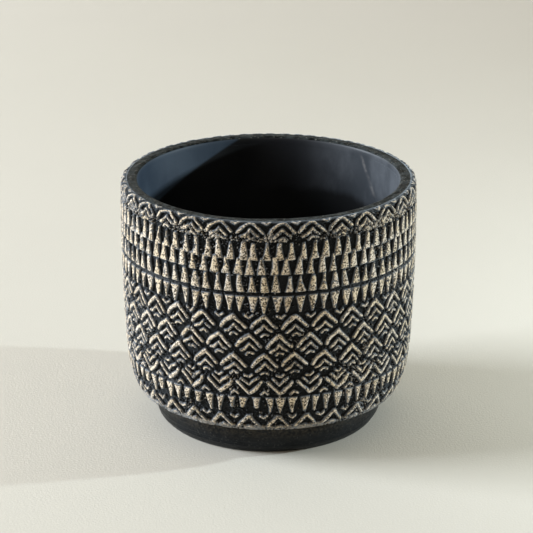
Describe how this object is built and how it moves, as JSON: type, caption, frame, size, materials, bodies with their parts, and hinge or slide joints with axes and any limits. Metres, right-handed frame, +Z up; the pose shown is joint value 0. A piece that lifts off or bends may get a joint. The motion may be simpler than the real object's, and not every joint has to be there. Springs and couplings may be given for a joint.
{
  "type": "carved clay pot",
  "caption": "Round footed open pot of dark clay, its wall carved in bands of raised triangles and nested chevrons with a pale wash.",
  "frame": {"origin": "centre of the foot's underside, on the surface the pot stands on", "axes": "+Z up along the pot's axis of turning; X and Y are interchangeable; -Y faces the camera of the reference view"},
  "size_m": [0.1348, 0.1348, 0.1154],
  "materials": {
    "patterned_clay": "matt dark clay with a pale sandy wash on the raised ornament",
    "dark_clay": "matt, slightly rough black clay",
    "inner_clay": "smooth satin blue-black clay"
  },
  "bodies": {
    "root": {"foot_ring": "dark_clay", "floor_slab": "dark_clay", "corner_coil": "inner_clay", "lower_wall": "patterned_clay", "upper_wall": "patterned_clay", "rim_coil": "dark_clay"}
  },
  "joints": []
}
